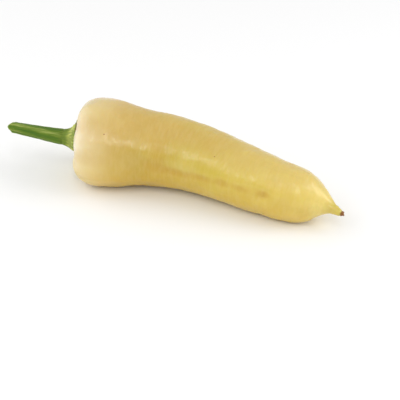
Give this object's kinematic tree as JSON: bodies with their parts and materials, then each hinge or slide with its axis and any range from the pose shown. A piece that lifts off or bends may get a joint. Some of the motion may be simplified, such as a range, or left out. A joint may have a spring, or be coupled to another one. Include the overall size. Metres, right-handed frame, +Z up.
{
  "type": "pointed sweet pepper",
  "caption": "Whole fresh pointed sweet pepper with pale yellow skin, star-shaped calyx, cut stem and dry tip, lying on its side.",
  "frame": {"origin": "on the surface that the pepper rests on, under the middle of its bounding box", "axes": "+X along the pepper from its stem to its tip, +Z up as it lies, -Y the front, which is the hollow side of its bend"},
  "size_m": [0.1892, 0.0478, 0.0455],
  "materials": {
    "skin": "waxy satin, pale yellow",
    "calyx": "matt, wrinkled, pale green",
    "stem": "satin, ridged, green",
    "scar": "matt, dry, brown"
  },
  "bodies": {
    "root": {"fruit": "skin", "calyx": "calyx", "stem": "stem", "blossom_scar": "scar"}
  },
  "joints": []
}
